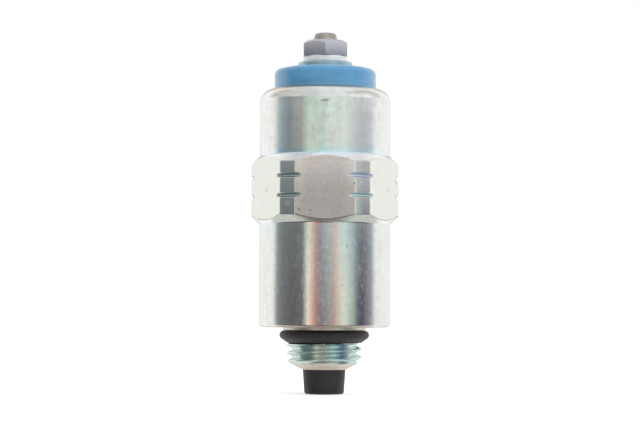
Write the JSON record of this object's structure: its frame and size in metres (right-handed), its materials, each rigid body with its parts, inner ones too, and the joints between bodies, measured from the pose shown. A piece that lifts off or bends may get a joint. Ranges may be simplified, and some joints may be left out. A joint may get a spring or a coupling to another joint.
{
  "type": "fuel shutoff solenoid",
  "caption": "Screw-in fuel shutoff solenoid: a plated steel body with a hexagon and a threaded nose, a blue insulating cap with a stud terminal, and a sprung plunger with a rubber tip.",
  "frame": {"origin": "on the axis, in the plane of the shoulder that seats on the pump", "axes": "+Z along the axis towards the terminal, a flat of the hexagon faces -Y"},
  "size_m": [0.0272, 0.025, 0.0666],
  "materials": {
    "zinc_plate": "passivated zinc plating",
    "bare_steel": "turned steel",
    "spring_steel": "spring steel",
    "brass": "drawn brass",
    "enamelled_copper": "enamelled copper wire",
    "blue_nylon": "moulded blue nylon, half gloss",
    "black_nylon": "moulded black nylon",
    "yellow_tape": "polyester tape",
    "fibre_board": "vulcanised fibre",
    "glass_sleeving": "woven glass sleeving",
    "black_rubber": "moulded black rubber"
  },
  "bodies": {
    "housing": {"body": "zinc_plate", "insulator_cap": "blue_nylon", "terminal_stud": "bare_steel", "terminal_nut": "zinc_plate", "spring_washer": "zinc_plate", "plain_washer": "zinc_plate", "nose_seal_ring": "black_rubber", "cap_seal": "black_rubber", "insulating_disc": "fibre_board", "end_plate": "bare_steel", "pole_piece": "bare_steel", "pole_shim": "brass", "guide_tube": "brass", "guide_tube_seal": "black_rubber", "bobbin": "black_nylon", "winding": "enamelled_copper", "coil_wrap": "yellow_tape", "wave_washer": "spring_steel", "live_lead": "enamelled_copper", "lead_sleeve": "glass_sleeving", "earth_lead": "enamelled_copper", "return_spring": "spring_steel"},
    "plunger": {"plunger": "bare_steel", "valve_tip": "black_rubber"}
  },
  "joints": [
    {"name": "plunger_slide", "type": "slide", "parent": "housing", "child": "plunger", "axis": [0, 0, 1], "range_m": [0, 0.0022], "stiffness_N_per_m": 700, "springref_m": -0.006, "deforming": ["return_spring"]}
  ]
}
